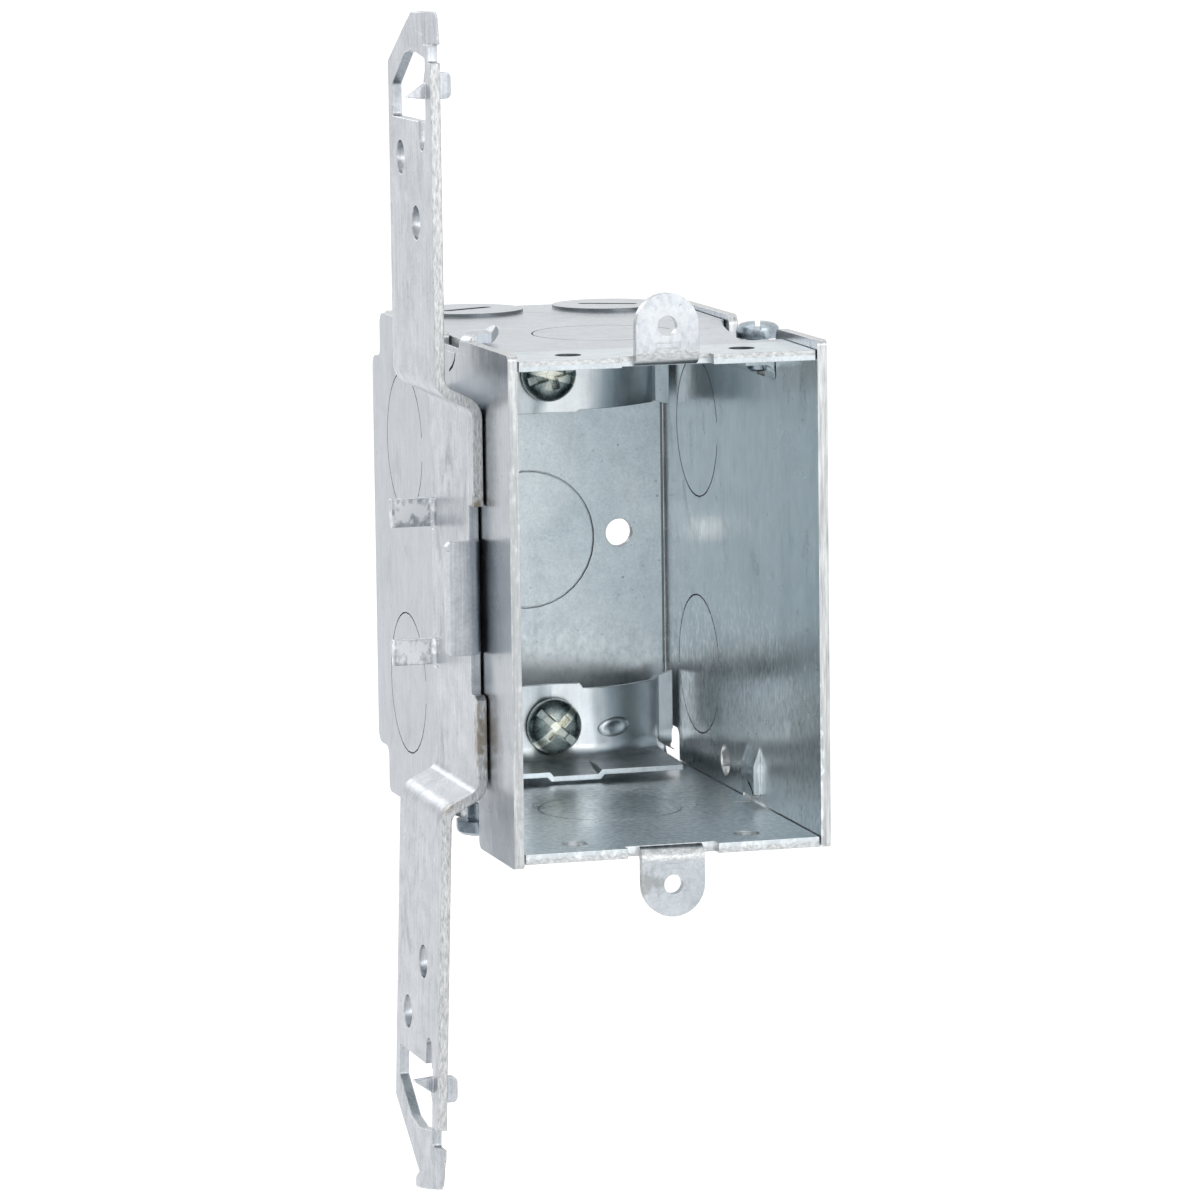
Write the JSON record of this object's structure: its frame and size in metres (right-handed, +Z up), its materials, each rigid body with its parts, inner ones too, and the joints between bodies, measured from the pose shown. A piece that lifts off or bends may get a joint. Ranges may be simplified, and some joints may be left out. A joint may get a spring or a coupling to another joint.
{
  "type": "electrical wall box",
  "caption": "Open-fronted sheet steel wall box for one wiring device, with knockouts, removable sides, cable clamps held by screws, and a stepped side bracket that nails to a wall stud",
  "frame": {"origin": "on the outer face of the upper strap of the stud bracket, midway between the strap's front and rear edges, where it lies against the side of the wall stud", "axes": "+X to the right as seen from the open front, away from the stud; +Y into the box, away from the room; +Z up, along the straps"},
  "size_m": [0.062, 0.0825, 0.1786],
  "materials": {
    "sheet_steel": "galvanised sheet steel, pressed and sheared, satin with dull mottling",
    "screw_steel": "zinc plated steel, satin"
  },
  "bodies": {
    "root": {"box_body": "sheet_steel", "left_side_plate": "sheet_steel", "right_side_plate": "sheet_steel", "stud_bracket": "sheet_steel", "upper_cable_clamp": "sheet_steel", "lower_cable_clamp": "sheet_steel", "upper_clamp_screw": "screw_steel", "lower_clamp_screw": "screw_steel", "left_side_screw": "screw_steel", "right_side_screw": "screw_steel"}
  },
  "joints": []
}
